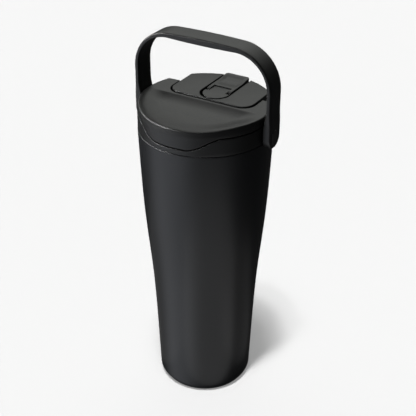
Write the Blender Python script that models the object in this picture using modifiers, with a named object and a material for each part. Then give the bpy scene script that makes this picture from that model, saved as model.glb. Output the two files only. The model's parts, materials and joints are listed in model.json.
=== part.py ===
"""Insulated travel mug: a tapered double-wall cup, a screw-in lid with a flip cap over the
drinking spout, and a swinging carry handle.

Frame: metres, +Z up, origin at the centre of the base. +X runs along the handle's pivot axis,
the flip cap opens towards -Y from its rest over the rear (+Y) of the lid, and the lid's scooped
recess is at the front (-Y).
"""

import math

import bmesh
import bpy
from mathutils import Matrix, Vector

MM = 0.001

# ---- driving dimensions, in millimetres ----
SEGMENTS = 48            # facets round a large turned part
LID_SEGMENTS = 72        # round the pieces that follow the wavy line
GAP = 0.3                # clearance between neighbouring pieces
THROUGH = (190, 250)     # a cutter that runs right through the lid

# Cup: the outside is a straight taper with one soft step in it.
CUP_TOP = 211.7
STEP_Z = 119.0
STEP_RADIUS = 41.4
STEP_HALF = 2.17
STEP_SPREAD = 36.0
TAPER = 0.036
SHELL_WALL = 0.7
LINER_OFFSET = 4.0       # from the outside of the cup to the inside of the liner
MOUTH_RADIUS = 41.9
LINER_FLOOR = 9.5
LINER_CORNER = 11.0
FOOT_RADIUS = 32.6
FOOT_HEIGHT = 2.0

# Lid
LID_RADIUS = 46.7
LID_BOTTOM = CUP_TOP + GAP
DECK_Z = 224.4           # top of the lid base
LID_TOP = 231.0
RIM_RADIUS = 45.4
SKIRT_WALL = 2.0
RING_INNER = 43.2        # inside of the lid base's outer ring
DECK_THICKNESS = 2.1
WAVE_LOW = 215.8         # the cover's skirt hangs lowest at the front
WAVE_HIGH = 224.4
WAVE_FROM = 14.0         # degrees either side of the front
WAVE_TO = 44.0
SCOOP_FLOOR = 228.2
FRONT_RIM = 229.3
SCOOP_START_Y = -1.4
SCOOP_REACH = 12.0       # length of the curved step below the deck
SCOOP_CURVE = 2.3        # power of its concave curve
BOWL_START = 30.0        # the dish rises to the rim outside this radius
NOTCH_Y = 19.5           # the cover's side rims stop here

# Deck panel, with the slot that the flip cap lies in
PANEL_HALF = 31.6
PANEL_FRONT_Y = 1.2
PANEL_CORNER = 9.0
PANEL_TOP = 231.6
PANEL_GAP = 1.3
SLOT_HALF = 11.0
SLOT_FRONT_Y = 2.2

# Flip cap and its hinge
CAP_HALF = 9.5
CAP_REAR_Y = 46.4
CAP_TOP = 231.8
CAP_LIP_RISE = 0.8
HINGE_Y = 19.5
HINGE_Z = 228.4
KNUCKLE_RADIUS = 3.2
TONGUE_HALF = 6.5
PIN_RADIUS = 1.0
PIN_HOLE = 1.15
TONGUE_REACH = 3.9       # the fixed tongue runs this far behind the pin
TONGUE_GAP = 0.6
KNUCKLE_GAP = 1.0
BLOCK_GAP = 2.4          # between the slot's round front and the hinge block

# Spout, vent, plug
SPOUT_Y = 30.2
SPOUT_RADIUS = 6.4
SPOUT_BORE = 5.3
VENT_X = -7.4
VENT_Y = 24.6
VENT_RADIUS = 1.3
PLUG_RADIUS = 39.9
PLUG_BOTTOM = 198.0
PLUG_TOP = 221.8
PLUG_WALL = 2.0
PLUG_FLANGE = 42.7
THREAD_PITCH = 4.0
THREAD_TURNS = 1.25
THREAD_HEIGHT = 1.3

# Handle: a flat strap, widest over the top, with thicker round ends at the pivots
PIVOT_Z = 216.4
HANDLE_TOP = 276.7
HANDLE_OUTER = 52.9      # at the pivots
LEG_OUTER = 52.3         # above them
HANDLE_CORNER = 28.4
HANDLE_INNER_CORNER = 23.5
HANDLE_CROWN = 0.5       # the grip swells by this much above and below its ends
HANDLE_LEG = 3.0
HANDLE_BAR = 3.6
HANDLE_HALF_LEG = 7.9
HANDLE_HALF_TOP = 7.9
HANDLE_END_RADIUS = 7.6
END_INNER = 47.3         # inner face of the thick end
END_REACH = 20.0         # the end's thickening runs this far above the pivot
WASHER_RECESS = 1.0
WASHER_RADIUS = 4.9
BOSS_RADIUS = 3.1
SCREW_RADIUS = 1.4
SCREW_HOLE = 1.7
HEAD_RADIUS = 2.6
HEAD_RECESS = 1.4        # depth below the cap's recess
CAP_RECESS = 1.3
CAP_PROUD = 0.3          # the oval cap stands this far out of the strap
OVAL_HALF = 3.3          # the oval cap's half width and half height
OVAL_LONG = 5.6

# ---- materials: colour, roughness, metallic ----
FINISHES = {
    "powder_coat": ((0.012, 0.012, 0.013, 1), 0.48, 0.0),
    "steel": ((0.55, 0.55, 0.56, 1), 0.28, 1.0),
    "black_plastic": ((0.018, 0.018, 0.018, 1), 0.5, 0.0),
    "strap_plastic": ((0.022, 0.022, 0.021, 1), 0.46, 0.0),
    "silicone": ((0.03, 0.03, 0.03, 1), 0.75, 0.0),
    "foam": ((0.75, 0.73, 0.68, 1), 0.9, 0.0),
}


def fresh_collection(name):
    collection = bpy.data.collections.new(name)
    bpy.context.scene.collection.children.link(collection)
    return collection


for old in list(bpy.data.objects):
    bpy.data.objects.remove(old, do_unlink=True)
PARTS = fresh_collection("insulated_travel_mug")
CUTTERS = fresh_collection("cutters")


# ---- helpers ----
def finish_material(name):
    if name in bpy.data.materials:
        return bpy.data.materials[name]
    colour, roughness, metallic = FINISHES[name]
    material = bpy.data.materials.new(name)
    material.use_nodes = True
    shader = material.node_tree.nodes["Principled BSDF"]
    shader.inputs["Base Color"].default_value = colour
    shader.inputs["Roughness"].default_value = roughness
    shader.inputs["Metallic"].default_value = metallic
    return material


def place(name, mesh, finish=None):
    """A new object: a part when it has a finish, a hidden cutter when it has none."""
    piece = bpy.data.objects.new(name, mesh)
    if finish:
        PARTS.objects.link(piece)
        mesh.materials.clear()
        mesh.materials.append(finish_material(finish))
    else:
        CUTTERS.objects.link(piece)
        piece.hide_render = True
        piece.display_type = "WIRE"
    return piece


def evaluated_mesh(piece):
    bpy.context.view_layer.update()
    graph = bpy.context.evaluated_depsgraph_get()
    return bpy.data.meshes.new_from_object(piece.evaluated_get(graph), depsgraph=graph)


def freeze(piece):
    """Replace an object's mesh by its evaluated one, and drop the modifiers."""
    mesh = evaluated_mesh(piece)
    piece.modifiers.clear()
    piece.data = mesh


def arc(cx, cy, radius, start, end, steps):
    """Points on an arc, angles in degrees."""
    angles = [math.radians(start + (end - start) * i / steps) for i in range(steps + 1)]
    return [(cx + radius * math.cos(a), cy + radius * math.sin(a)) for a in angles]


def turned(name, profile, finish=None, segments=SEGMENTS, closed=True):
    """A profile of (radius, height) in millimetres, turned round Z. A ring's profile is closed."""
    mesh = bpy.data.meshes.new(name)
    count = len(profile)
    edges = [(i, i + 1) for i in range(count - 1)]
    if closed:
        edges.append((count - 1, 0))
    mesh.from_pydata([(r * MM, 0, z * MM) for r, z in profile], edges, [])
    piece = place(name, mesh, finish)
    screw = piece.modifiers.new("Screw", "SCREW")
    screw.steps = segments
    screw.render_steps = segments
    screw.use_merge_vertices = True
    screw.merge_threshold = 0.00001
    screw.use_smooth_shade = False
    freeze(piece)
    return piece


def extruded(name, outline, low, high, axis="Z", finish=None):
    """A closed 2D outline in millimetres, extruded from low to high along an axis.

    The outline's coordinates are (X, Y) for Z, (Y, Z) for X, and (X, Z) for Y.
    """
    curve = bpy.data.curves.new(name, "CURVE")
    curve.dimensions = "2D"
    curve.fill_mode = "BOTH"
    curve.extrude = (high - low) / 2 * MM
    spline = curve.splines.new("POLY")
    spline.points.add(len(outline) - 1)
    for point, (u, v) in zip(spline.points, outline):
        point.co = (u * MM, v * MM, 0, 1)
    spline.use_cyclic_u = True
    drawn = bpy.data.objects.new(name + "_outline", curve)
    CUTTERS.objects.link(drawn)
    mesh = evaluated_mesh(drawn)
    bpy.data.objects.remove(drawn, do_unlink=True)
    middle = (low + high) / 2 * MM
    frames = {
        "Z": Matrix(((1, 0, 0, 0), (0, 1, 0, 0), (0, 0, 1, middle), (0, 0, 0, 1))),
        "X": Matrix(((0, 0, 1, middle), (1, 0, 0, 0), (0, 1, 0, 0), (0, 0, 0, 1))),
        "Y": Matrix(((1, 0, 0, 0), (0, 0, -1, middle), (0, 1, 0, 0), (0, 0, 0, 1))),
    }
    mesh.transform(frames[axis])
    weld(mesh)
    return place(name, mesh, finish)


def weld(mesh):
    work = bmesh.new()
    work.from_mesh(mesh)
    bmesh.ops.remove_doubles(work, verts=work.verts, dist=0.000001)
    bmesh.ops.recalc_face_normals(work, faces=work.faces)
    work.to_mesh(mesh)
    work.free()


def rod(name, centre, radius, low, high, axis="Z", finish=None, segments=32):
    """A cylinder about a line through centre: (X, Y) for Z, (Y, Z) for X."""
    u, v = centre
    outline = arc(u, v, radius, 0, 360 * (segments - 1) / segments, segments - 1)
    return extruded(name, outline, low, high, axis, finish)


def combine(piece, other, operation, solver="EXACT"):
    """Cut, join or intersect with another mesh, and use the other one up."""
    modifier = piece.modifiers.new(operation.title(), "BOOLEAN")
    modifier.operation = operation
    modifier.object = other
    modifier.solver = solver
    freeze(piece)
    bpy.data.objects.remove(other, do_unlink=True)


def cut(piece, cutter):
    combine(piece, cutter, "DIFFERENCE")


def join(piece, other):
    combine(piece, other, "UNION")


def rounded_box_outline(x0, y0, x1, y1, radius, steps=4):
    return (arc(x1 - radius, y1 - radius, radius, 0, 90, steps)
            + arc(x0 + radius, y1 - radius, radius, 90, 180, steps)
            + arc(x0 + radius, y0 + radius, radius, 180, 270, steps)
            + arc(x1 - radius, y0 + radius, radius, 270, 360, steps))


def mirrored_x(name, source):
    """A copy on the other side of the YZ plane."""
    mesh = source.data.copy()
    mesh.transform(Matrix.Scale(-1, 4, (1, 0, 0)))
    mesh.flip_normals()
    piece = bpy.data.objects.new(name, mesh)
    PARTS.objects.link(piece)
    return piece


def smooth_step(low, high, value):
    t = min(max((value - low) / (high - low), 0), 1)
    return t * t * (3 - 2 * t)


def cup_radius(z):
    return STEP_RADIUS + TAPER * (z - STEP_Z) + STEP_HALF * math.tanh((z - STEP_Z) / STEP_SPREAD)


def angle_from_front(x, y):
    return abs(math.degrees(math.atan2(x, -y)))


def wave_height(x, y):
    """Height of the line between the lid's cover and its base, round the outside."""
    rise = smooth_step(WAVE_FROM, WAVE_TO, angle_from_front(x, y))
    return WAVE_LOW + (WAVE_HIGH - WAVE_LOW) * rise


def heights(low, high, count):
    return [low + (high - low) * i / count for i in range(count + 1)]


# ---- cup ----
def build_outer_shell():
    levels = heights(6.0, CUP_TOP - 1.2, 10)
    outside = [(cup_radius(z), z) for z in reversed(levels)]
    foot = cup_radius(6.0)
    base_curl = [(foot - 0.25, 3.0), (foot - 0.8, 1.2), (foot - 1.8, 0.4), (foot - 2.2, 0.9)]
    inside = [(cup_radius(z) - SHELL_WALL, z) for z in levels]
    top = cup_radius(CUP_TOP)
    profile = ([(MOUTH_RADIUS + 1.1, CUP_TOP), (top - 0.6, CUP_TOP)]
               + outside + base_curl + [(foot - 1.0, 3.0)] + inside
               + [(top - 1.1, CUP_TOP - SHELL_WALL), (MOUTH_RADIUS + 1.1, CUP_TOP - SHELL_WALL)])
    turned("outer_shell", profile, "powder_coat")


def liner_radius(z):
    return min(MOUTH_RADIUS, cup_radius(z) - LINER_OFFSET)


def build_inner_liner():
    """A steel cup inside the shell, with a straight neck for the lid's plug."""
    corner_z = LINER_FLOOR + LINER_CORNER
    levels = heights(corner_z, 186.0, 7) + [CUP_TOP]
    outside = [(liner_radius(z) + SHELL_WALL, z) for z in reversed(levels)]
    corner_x = liner_radius(corner_z) - LINER_CORNER
    outer_corner = arc(corner_x, corner_z, LINER_CORNER + SHELL_WALL, 0, -90, 4)[1:]
    inner_corner = arc(corner_x, corner_z, LINER_CORNER, -90, 0, 4)[:-1]
    inside = [(liner_radius(z), z) for z in levels]
    profile = (outside + outer_corner + [(0, LINER_FLOOR - SHELL_WALL), (0, LINER_FLOOR)]
               + inner_corner + inside)
    turned("inner_liner", profile, "steel")


def build_cup_base():
    """The disc that closes the outer shell, its getter, and the foot pad under it."""
    disc = cup_radius(6.0) - 1.3
    turned("shell_base", [(0, 4.0), (8, 4.0), (10, 4.8), (disc, 4.8), (disc, 4.1), (10.3, 4.1),
                          (8.3, 3.3), (0, 3.3)], "steel", closed=False)
    turned("vacuum_getter", [(0, 7.0), (5.0, 7.0), (5.6, 6.4), (5.6, 4.3), (0, 4.3)], "steel",
           segments=32, closed=False)
    turned("foot_pad", [(0, 3.0), (7, 3.0), (9, FOOT_HEIGHT), (FOOT_RADIUS, FOOT_HEIGHT),
                        (FOOT_RADIUS, 0.5), (FOOT_RADIUS - 0.5, 0), (0, 0)], "silicone",
           closed=False)


# ---- lid ----
def drill_lid(piece):
    """The spout's and the vent's holes, right through."""
    cut(piece, rod("spout_hole", (0, SPOUT_Y), SPOUT_RADIUS + GAP, *THROUGH))
    cut(piece, rod("vent_hole", (VENT_X, VENT_Y), VENT_RADIUS, *THROUGH, segments=12))


def build_lid_base():
    """A ring and deck whose outer wall stops at the wavy line, with a boss for each pivot."""
    ledge = LID_RADIUS - SKIRT_WALL - GAP
    profile = [(0, DECK_Z - 0.1), (ledge, DECK_Z - 0.1), (ledge, WAVE_HIGH - 0.6),
               (ledge + 0.01, WAVE_HIGH), (LID_RADIUS, WAVE_HIGH), (LID_RADIUS, LID_BOTTOM + 0.4),
               (LID_RADIUS - 0.4, LID_BOTTOM), (RING_INNER, LID_BOTTOM),
               (RING_INNER, DECK_Z - 0.1 - DECK_THICKNESS), (0, DECK_Z - 0.1 - DECK_THICKNESS)]
    base = turned("lid_base", profile, "black_plastic", segments=LID_SEGMENTS, closed=False)
    for vertex in base.data.vertices:
        x, y, z = vertex.co / MM
        radius = math.hypot(x, y)
        line = wave_height(x, y) - 0.15
        if radius > ledge - 0.1 and abs(z - (WAVE_HIGH - 0.6)) < 0.01:
            vertex.co.z = (line - 0.02) * MM
        elif radius > ledge - 0.1 and abs(z - WAVE_HIGH) < 0.001:
            vertex.co.z = line * MM
    boss_face = END_INNER - 0.4
    for side in (-1, 1):
        low, high = sorted((side * (RING_INNER + 1.0), side * boss_face))
        join(base, rod("boss", (0, PIVOT_Z), BOSS_RADIUS, low, high, "X"))
        low, high = sorted((side * (RING_INNER - 1.0), side * (boss_face + 1.0)))
        cut(base, rod("screw_hole", (0, PIVOT_Z), SCREW_HOLE, low, high, "X", segments=16))
    drill_lid(base)


def build_threaded_plug():
    inside = PLUG_RADIUS - PLUG_WALL
    profile = [(PLUG_FLANGE, PLUG_TOP), (PLUG_FLANGE, PLUG_TOP - 2), (PLUG_RADIUS, PLUG_TOP - 3.5),
               (PLUG_RADIUS, PLUG_BOTTOM + 0.8), (PLUG_RADIUS - 0.8, PLUG_BOTTOM), (0, PLUG_BOTTOM),
               (0, PLUG_BOTTOM + PLUG_WALL), (inside, PLUG_BOTTOM + PLUG_WALL), (inside, PLUG_TOP)]
    plug = turned("threaded_plug", profile, "black_plastic")
    combine(plug, build_thread(), "UNION", "MANIFOLD")
    drill_lid(plug)


def build_thread():
    """One helical ridge that tapers away at both ends, as a closed tube of four-sided sections."""
    steps = round(48 * THREAD_TURNS)
    work = bmesh.new()
    rings = []
    for i in range(steps + 1):
        angle = 2 * math.pi * THREAD_TURNS * i / steps
        lead = min(i, steps - i, 6) / 6
        out = PLUG_RADIUS + THREAD_HEIGHT * max(lead, 0.15)
        back = PLUG_RADIUS - 0.8
        z = PLUG_BOTTOM + 2.6 + THREAD_PITCH * THREAD_TURNS * i / steps
        section = [(back, z - 1.2), (out, z - 0.4), (out, z + 0.4), (back, z + 1.2)]
        turn = Matrix.Rotation(angle, 4, "Z")
        rings.append([work.verts.new(turn @ Vector((r * MM, 0, h * MM))) for r, h in section])
    for ring, following in zip(rings, rings[1:]):
        for k in range(4):
            work.faces.new((ring[k], ring[(k + 1) % 4], following[(k + 1) % 4], following[k]))
    work.faces.new(rings[0])
    work.faces.new(rings[-1])
    bmesh.ops.recalc_face_normals(work, faces=work.faces)
    mesh = bpy.data.meshes.new("thread")
    work.to_mesh(mesh)
    work.free()
    return place("thread", mesh)


def build_lid_filling():
    """What the plug holds: foam with the spout tube through it. The gasket is outside it."""
    inside = PLUG_RADIUS - PLUG_WALL - GAP
    foam = turned("lid_insulation", [(0, PLUG_TOP - 0.6), (inside, PLUG_TOP - 0.6),
                                     (inside, PLUG_BOTTOM + PLUG_WALL + GAP),
                                     (0, PLUG_BOTTOM + PLUG_WALL + GAP)],
                  "foam", segments=48, closed=False)
    drill_lid(foam)
    tube = rod("spout_tube", (0, SPOUT_Y), SPOUT_RADIUS, PLUG_BOTTOM - 0.4, DECK_Z + 1.0, "Z",
               "black_plastic")
    cut(tube, rod("spout_bore", (0, SPOUT_Y), SPOUT_BORE, *THROUGH))
    turned("lid_gasket", [(PLUG_RADIUS + 0.2, 209.6), (PLUG_RADIUS + 1.2, 209.8),
                          (PLUG_RADIUS + 1.7, 209.2), (PLUG_RADIUS + 1.2, 208.4),
                          (PLUG_RADIUS + 1.7, 207.6), (PLUG_RADIUS + 1.2, 207.0),
                          (PLUG_RADIUS + 0.2, 207.2)], "silicone")


def panel_outline(grow):
    """The D-shaped deck panel: straight front and sides, and the lid's own curve at the rear."""
    half = PANEL_HALF + grow
    front = PANEL_FRONT_Y - grow
    corner = PANEL_CORNER + grow
    rim = RIM_RADIUS + grow
    side_angle = math.degrees(math.acos(half / rim))
    return (arc(0, 0, rim, side_angle, 180 - side_angle, 16)
            + arc(-half + corner, front + corner, corner, 180, 270, 6)
            + arc(half - corner, front + corner, corner, 270, 360, 6))


def slot_outline():
    """The flip cap's slot: open at the rear, and round at the front."""
    return ([(SLOT_HALF, 60), (-SLOT_HALF, 60)]
            + arc(0, SLOT_FRONT_Y + SLOT_HALF, SLOT_HALF, 180, 360, 14))


def scoop_surface(x, y):
    """Top of the cover in front of the deck: a shallow dish below a soft step."""
    radius = math.hypot(x, y)
    rim = FRONT_RIM + (LID_TOP - FRONT_RIM) * smooth_step(18, 62, angle_from_front(x, y))
    floor = SCOOP_FLOOR + (rim - SCOOP_FLOOR) * smooth_step(BOWL_START, RIM_RADIUS, radius)
    along = min(max((SCOOP_START_Y - y) / SCOOP_REACH, 0), 1)
    return LID_TOP + (floor - LID_TOP) * (1 - (1 - along) ** SCOOP_CURVE)


def build_scoop_cutter():
    """A block above the scooped surface, kept just clear of the flat deck behind it."""
    columns = heights(-48, 48, 16)
    rows = [-48, -45, -42, -38, -33, -26, -19, -13.4, -10, -7, -5, -3.4, -2.3, SCOOP_START_Y]
    roof = 240
    work = bmesh.new()
    grid = [[work.verts.new((x * MM, y * MM, scoop_surface(x, y) * MM)) for x in columns]
            for y in rows]
    for j in range(len(rows) - 1):
        for i in range(len(columns) - 1):
            work.faces.new((grid[j][i], grid[j][i + 1], grid[j + 1][i + 1], grid[j + 1][i]))
    bottom = list(work.faces)
    top = bmesh.ops.extrude_face_region(work, geom=bottom)["geom"]
    for vertex in top:
        if isinstance(vertex, bmesh.types.BMVert):
            vertex.co.z = roof * MM
    bmesh.ops.recalc_face_normals(work, faces=work.faces)
    mesh = bpy.data.meshes.new("scoop")
    work.to_mesh(mesh)
    work.free()
    return place("scoop", mesh)


def build_lid_cover():
    inner = LID_RADIUS - SKIRT_WALL
    profile = [(0, LID_TOP), (RIM_RADIUS, LID_TOP), (46.1, LID_TOP - 0.8), (46.5, LID_TOP - 2.5),
               (46.65, LID_TOP - 4.0), (LID_RADIUS, WAVE_HIGH), (inner, WAVE_HIGH),
               (inner - 0.01, DECK_Z + 0.25), (0, DECK_Z + 0.25)]
    cover = turned("lid_cover", profile, "black_plastic", segments=LID_SEGMENTS, closed=False)
    for vertex in cover.data.vertices:
        x, y, z = vertex.co / MM
        if abs(z - WAVE_HIGH) < 0.001 and math.hypot(x, y) > inner - 0.1:
            vertex.co.z = (wave_height(x, y) + 0.2) * MM
    cut(cover, build_scoop_cutter())
    cut(cover, extruded("deck_pocket", panel_outline(PANEL_GAP), *THROUGH))
    rear = [(-60, NOTCH_Y), (60, NOTCH_Y), (60, 60), (-60, 60)]
    cut(cover, extruded("rear_notch", rear, *THROUGH))


def build_deck_panel():
    panel = extruded("deck_panel", panel_outline(0), DECK_Z + 0.3, PANEL_TOP, "Z",
                     "black_plastic")
    cut(panel, extruded("cap_slot", slot_outline(), *THROUGH))


def build_hinge_block():
    """The fixed round block in the slot, with the tongue that carries the hinge pin."""
    rear = HINGE_Y - KNUCKLE_RADIUS - KNUCKLE_GAP
    outline = (arc(0, SLOT_FRONT_Y + BLOCK_GAP + CAP_HALF, CAP_HALF, 180, 360, 14)
               + [(CAP_HALF, rear), (-CAP_HALF, rear)])
    floor = DECK_Z + GAP
    top = HINGE_Z + 2.8
    block = extruded("hinge_block", outline, floor, top, "Z", "black_plastic")
    back = HINGE_Y + TONGUE_REACH
    tongue = [(rear - 2, floor), (back, floor), (back, HINGE_Z + 1.2), (back - 1, top),
              (rear - 2, top)]
    join(block, extruded("tongue", tongue, -TONGUE_HALF, TONGUE_HALF, "X"))
    cut(block, rod("pin_hole", (HINGE_Y, HINGE_Z), PIN_HOLE, -20, 20, "X", segments=24))


def build_flip_cap():
    """The cap over the spout: two knuckles at the hinge, and a raised lip past the rim."""
    under = HINGE_Z - 0.8
    rear = CAP_REAR_Y
    side = [(HINGE_Y, HINGE_Z - KNUCKLE_RADIUS)]
    side += arc(HINGE_Y, HINGE_Z, KNUCKLE_RADIUS, 270, 90, 10)[1:]
    side += [(rear - 11, CAP_TOP), (rear - 8, CAP_TOP + CAP_LIP_RISE * 0.4),
             (rear - 3, CAP_TOP + CAP_LIP_RISE), (rear - 0.8, CAP_TOP + CAP_LIP_RISE),
             (rear, CAP_TOP), (rear, under - 0.4), (rear - 1.0, under), (HINGE_Y + 4.2, under)]
    cap = extruded("flip_cap", side, -CAP_HALF, CAP_HALF, "X", "black_plastic")
    plan = rounded_box_outline(-CAP_HALF, HINGE_Y - 10, CAP_HALF, rear, 3.0)
    combine(cap, extruded("cap_plan", plan, *THROUGH), "INTERSECT")
    slot = TONGUE_HALF + TONGUE_GAP
    back = HINGE_Y + TONGUE_REACH + 0.45
    inner = [(-slot, HINGE_Y - 12), (slot, HINGE_Y - 12), (slot, back), (-slot, back)]
    cut(cap, extruded("tongue_slot", inner, *THROUGH))
    cut(cap, rod("pin_hole", (HINGE_Y, HINGE_Z), PIN_HOLE, -20, 20, "X", segments=24))


def build_hinge_small_parts():
    half = CAP_HALF - 0.4
    rod("hinge_pin", (HINGE_Y, HINGE_Z), PIN_RADIUS, -half, half, "X", "steel", segments=24)
    under = HINGE_Z - 0.8 - GAP
    profile = [(0, under), (SPOUT_RADIUS, under), (SPOUT_RADIUS, under - 0.7),
               (SPOUT_BORE - 0.4, under - 0.9), (SPOUT_BORE - 0.7, DECK_Z - 0.2), (0, DECK_Z - 0.2)]
    seal = turned("cap_seal", profile, "silicone", segments=32, closed=False)
    seal.data.transform(Matrix.Translation((0, SPOUT_Y * MM, 0)))


# ---- handle ----
def handle_front_outline():
    """The strap seen from the front: a wide arch with two legs that thicken at the pivots."""
    in_x = LEG_OUTER - HANDLE_LEG
    foot = PIVOT_Z - HANDLE_END_RADIUS
    shoulder = HANDLE_TOP - HANDLE_CROWN
    under = shoulder - HANDLE_BAR
    thick = [(in_x + (END_INNER - in_x) * (1 - smooth_step(6, END_REACH, h)), PIVOT_Z + h)
             for h in (6, 9, 12, 14.5, 17, END_REACH)]
    outer = ([(HANDLE_OUTER, foot), (HANDLE_OUTER, PIVOT_Z + 8), (LEG_OUTER, PIVOT_Z + END_REACH)]
             + arc(LEG_OUTER - HANDLE_CORNER, shoulder - HANDLE_CORNER, HANDLE_CORNER, 0, 90, 10)
             + [(0, HANDLE_TOP)])
    inner = ([(END_INNER, foot)] + thick
             + arc(in_x - HANDLE_INNER_CORNER, under - HANDLE_INNER_CORNER, HANDLE_INNER_CORNER,
                   0, 90, 10)
             + [(0, under - HANDLE_CROWN)])
    left = [(-x, z) for x, z in reversed(outer[:-1])]
    inner_left = [(-x, z) for x, z in inner[:-1]]
    return outer + left + inner_left + list(reversed(inner))


def handle_side_outline():
    """The strap seen from the side: round ends at the pivots, widening again over the top."""
    end = HANDLE_END_RADIUS
    slim_z = PIVOT_Z + 22
    grow = [(HANDLE_HALF_LEG, slim_z), (HANDLE_HALF_LEG, slim_z + 14), (HANDLE_HALF_TOP, HANDLE_TOP - 8),
            (HANDLE_HALF_TOP, HANDLE_TOP + 5)]
    right = arc(0, PIVOT_Z, end, -90, 0, 8) + grow
    left = [(-y, z) for y, z in reversed(right[1:])]
    return right + left


def stadium(cy, cz, half, long, steps=8):
    """A slot shape that is longer along Z."""
    reach = long - half
    return arc(cy, cz + reach, half, 0, 180, steps) + arc(cy, cz - reach, half, 180, 360, steps)


def build_handle():
    """The strap, with a washer recess inside and a screw and cap recess outside at each end."""
    strap = extruded("handle_strap", handle_front_outline(), -12, 12, "Y", "strap_plastic")
    combine(strap, extruded("strap_side", handle_side_outline(), -70, 70, "X"), "INTERSECT")
    cap_shape = stadium(0, PIVOT_Z, OVAL_HALF + GAP, OVAL_LONG + GAP)
    washer_face, head_face, cap_face = end_faces()
    for side in (-1, 1):
        def span(a, b):
            return sorted((side * a, side * b))
        cut(strap, rod("washer_recess", (0, PIVOT_Z), WASHER_RADIUS + GAP, *span(40, washer_face), "X"))
        cut(strap, rod("screw_hole", (0, PIVOT_Z), SCREW_HOLE, *span(40, 60), "X", segments=16))
        cut(strap, rod("head_recess", (0, PIVOT_Z), HEAD_RADIUS + 0.4, *span(head_face, 60), "X"))
        cut(strap, extruded("cap_recess", cap_shape, *span(cap_face, 60), "X"))


def end_faces():
    """Where the recesses in a strap end stop: for the washer, the screw head and the cap."""
    cap_face = HANDLE_OUTER - CAP_RECESS
    return END_INNER + WASHER_RECESS, cap_face - HEAD_RECESS, cap_face


def build_pivot_hardware():
    """On each side a washer, a screw into the lid base, and the cap that hides it."""
    washer_face, head_face, cap_face = end_faces()
    screw = rod("pivot_screw_right", (0, PIVOT_Z), SCREW_RADIUS, 41.0, head_face + 0.6, "X",
                "steel", 16)
    join(screw, rod("head", (0, PIVOT_Z), HEAD_RADIUS, head_face + 0.2, head_face + 1.1, "X",
                    segments=24))
    mirrored_x("pivot_screw_left", screw)
    washer = rod("pivot_washer_right", (0, PIVOT_Z), WASHER_RADIUS, washer_face - 1.1,
                 washer_face - 0.3, "X", "strap_plastic")
    cut(washer, rod("washer_hole", (0, PIVOT_Z), SCREW_HOLE, 40, 60, "X", segments=16))
    mirrored_x("pivot_washer_left", washer)
    cap = extruded("pivot_cap_right", stadium(0, PIVOT_Z, OVAL_HALF, OVAL_LONG), cap_face + 0.2,
                   HANDLE_OUTER + CAP_PROUD, "X", "strap_plastic")
    mirrored_x("pivot_cap_left", cap)


def put_origin(name, x, y, z):
    """Move an object's origin on to its joint's axis without moving its surface."""
    piece = bpy.data.objects[name]
    spot = Vector((x, y, z)) * MM
    piece.data.transform(Matrix.Translation(-spot))
    piece.location = spot


build_outer_shell()
build_inner_liner()
build_cup_base()
build_lid_base()
build_threaded_plug()
build_lid_filling()
build_lid_cover()
build_deck_panel()
build_hinge_block()
build_flip_cap()
build_hinge_small_parts()
build_handle()
build_pivot_hardware()

for moving in ("flip_cap", "cap_seal"):
    put_origin(moving, 0, HINGE_Y, HINGE_Z)
for moving in ("handle_strap", "pivot_cap_left", "pivot_cap_right"):
    put_origin(moving, 0, 0, PIVOT_Z)
for finished in PARTS.objects:
    finished.data.set_sharp_from_angle(angle=math.radians(35))
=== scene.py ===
"""Looks of the insulated travel mug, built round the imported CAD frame."""
import json
import math

import bmesh
import bpy
from mathutils import Matrix, Vector


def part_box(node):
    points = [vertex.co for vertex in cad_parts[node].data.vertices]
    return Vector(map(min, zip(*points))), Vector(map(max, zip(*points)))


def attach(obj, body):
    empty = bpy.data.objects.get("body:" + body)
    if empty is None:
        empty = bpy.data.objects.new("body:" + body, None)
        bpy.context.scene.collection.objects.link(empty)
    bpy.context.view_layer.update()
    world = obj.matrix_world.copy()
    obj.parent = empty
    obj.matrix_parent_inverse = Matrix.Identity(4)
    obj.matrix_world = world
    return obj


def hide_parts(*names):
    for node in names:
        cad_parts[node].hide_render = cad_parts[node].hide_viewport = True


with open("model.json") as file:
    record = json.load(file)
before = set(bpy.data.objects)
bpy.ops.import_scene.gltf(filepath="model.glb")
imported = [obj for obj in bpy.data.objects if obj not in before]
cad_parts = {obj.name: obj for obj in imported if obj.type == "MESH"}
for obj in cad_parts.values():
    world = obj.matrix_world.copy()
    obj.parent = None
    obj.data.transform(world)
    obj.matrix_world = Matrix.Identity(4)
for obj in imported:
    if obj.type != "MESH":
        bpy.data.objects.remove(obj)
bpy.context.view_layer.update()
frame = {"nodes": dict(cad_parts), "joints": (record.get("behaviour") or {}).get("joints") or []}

MM = 0.001

# ---- the CAD model's own dimensions, in millimetres ----
def node_box(name):
    """Lowest and highest corner of a CAD node in millimetres."""
    low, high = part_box(name)
    return Vector(low) / MM, Vector(high) / MM


SHELL_HIGH = node_box("outer_shell")[1]
COVER_HIGH = node_box("lid_cover")[1]
PANEL_LOW, PANEL_HIGH = node_box("deck_panel")
BLOCK_LOW, BLOCK_HIGH = node_box("hinge_block")
CAP_HIGH = node_box("flip_cap")[1]
STRAP_HIGH = node_box("handle_strap")[1]
JOINTS = {joint["name"]: joint for joint in frame["joints"]}


def joint_point(name):
    return Vector(JOINTS[name]["pos_m"]) / MM


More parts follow.
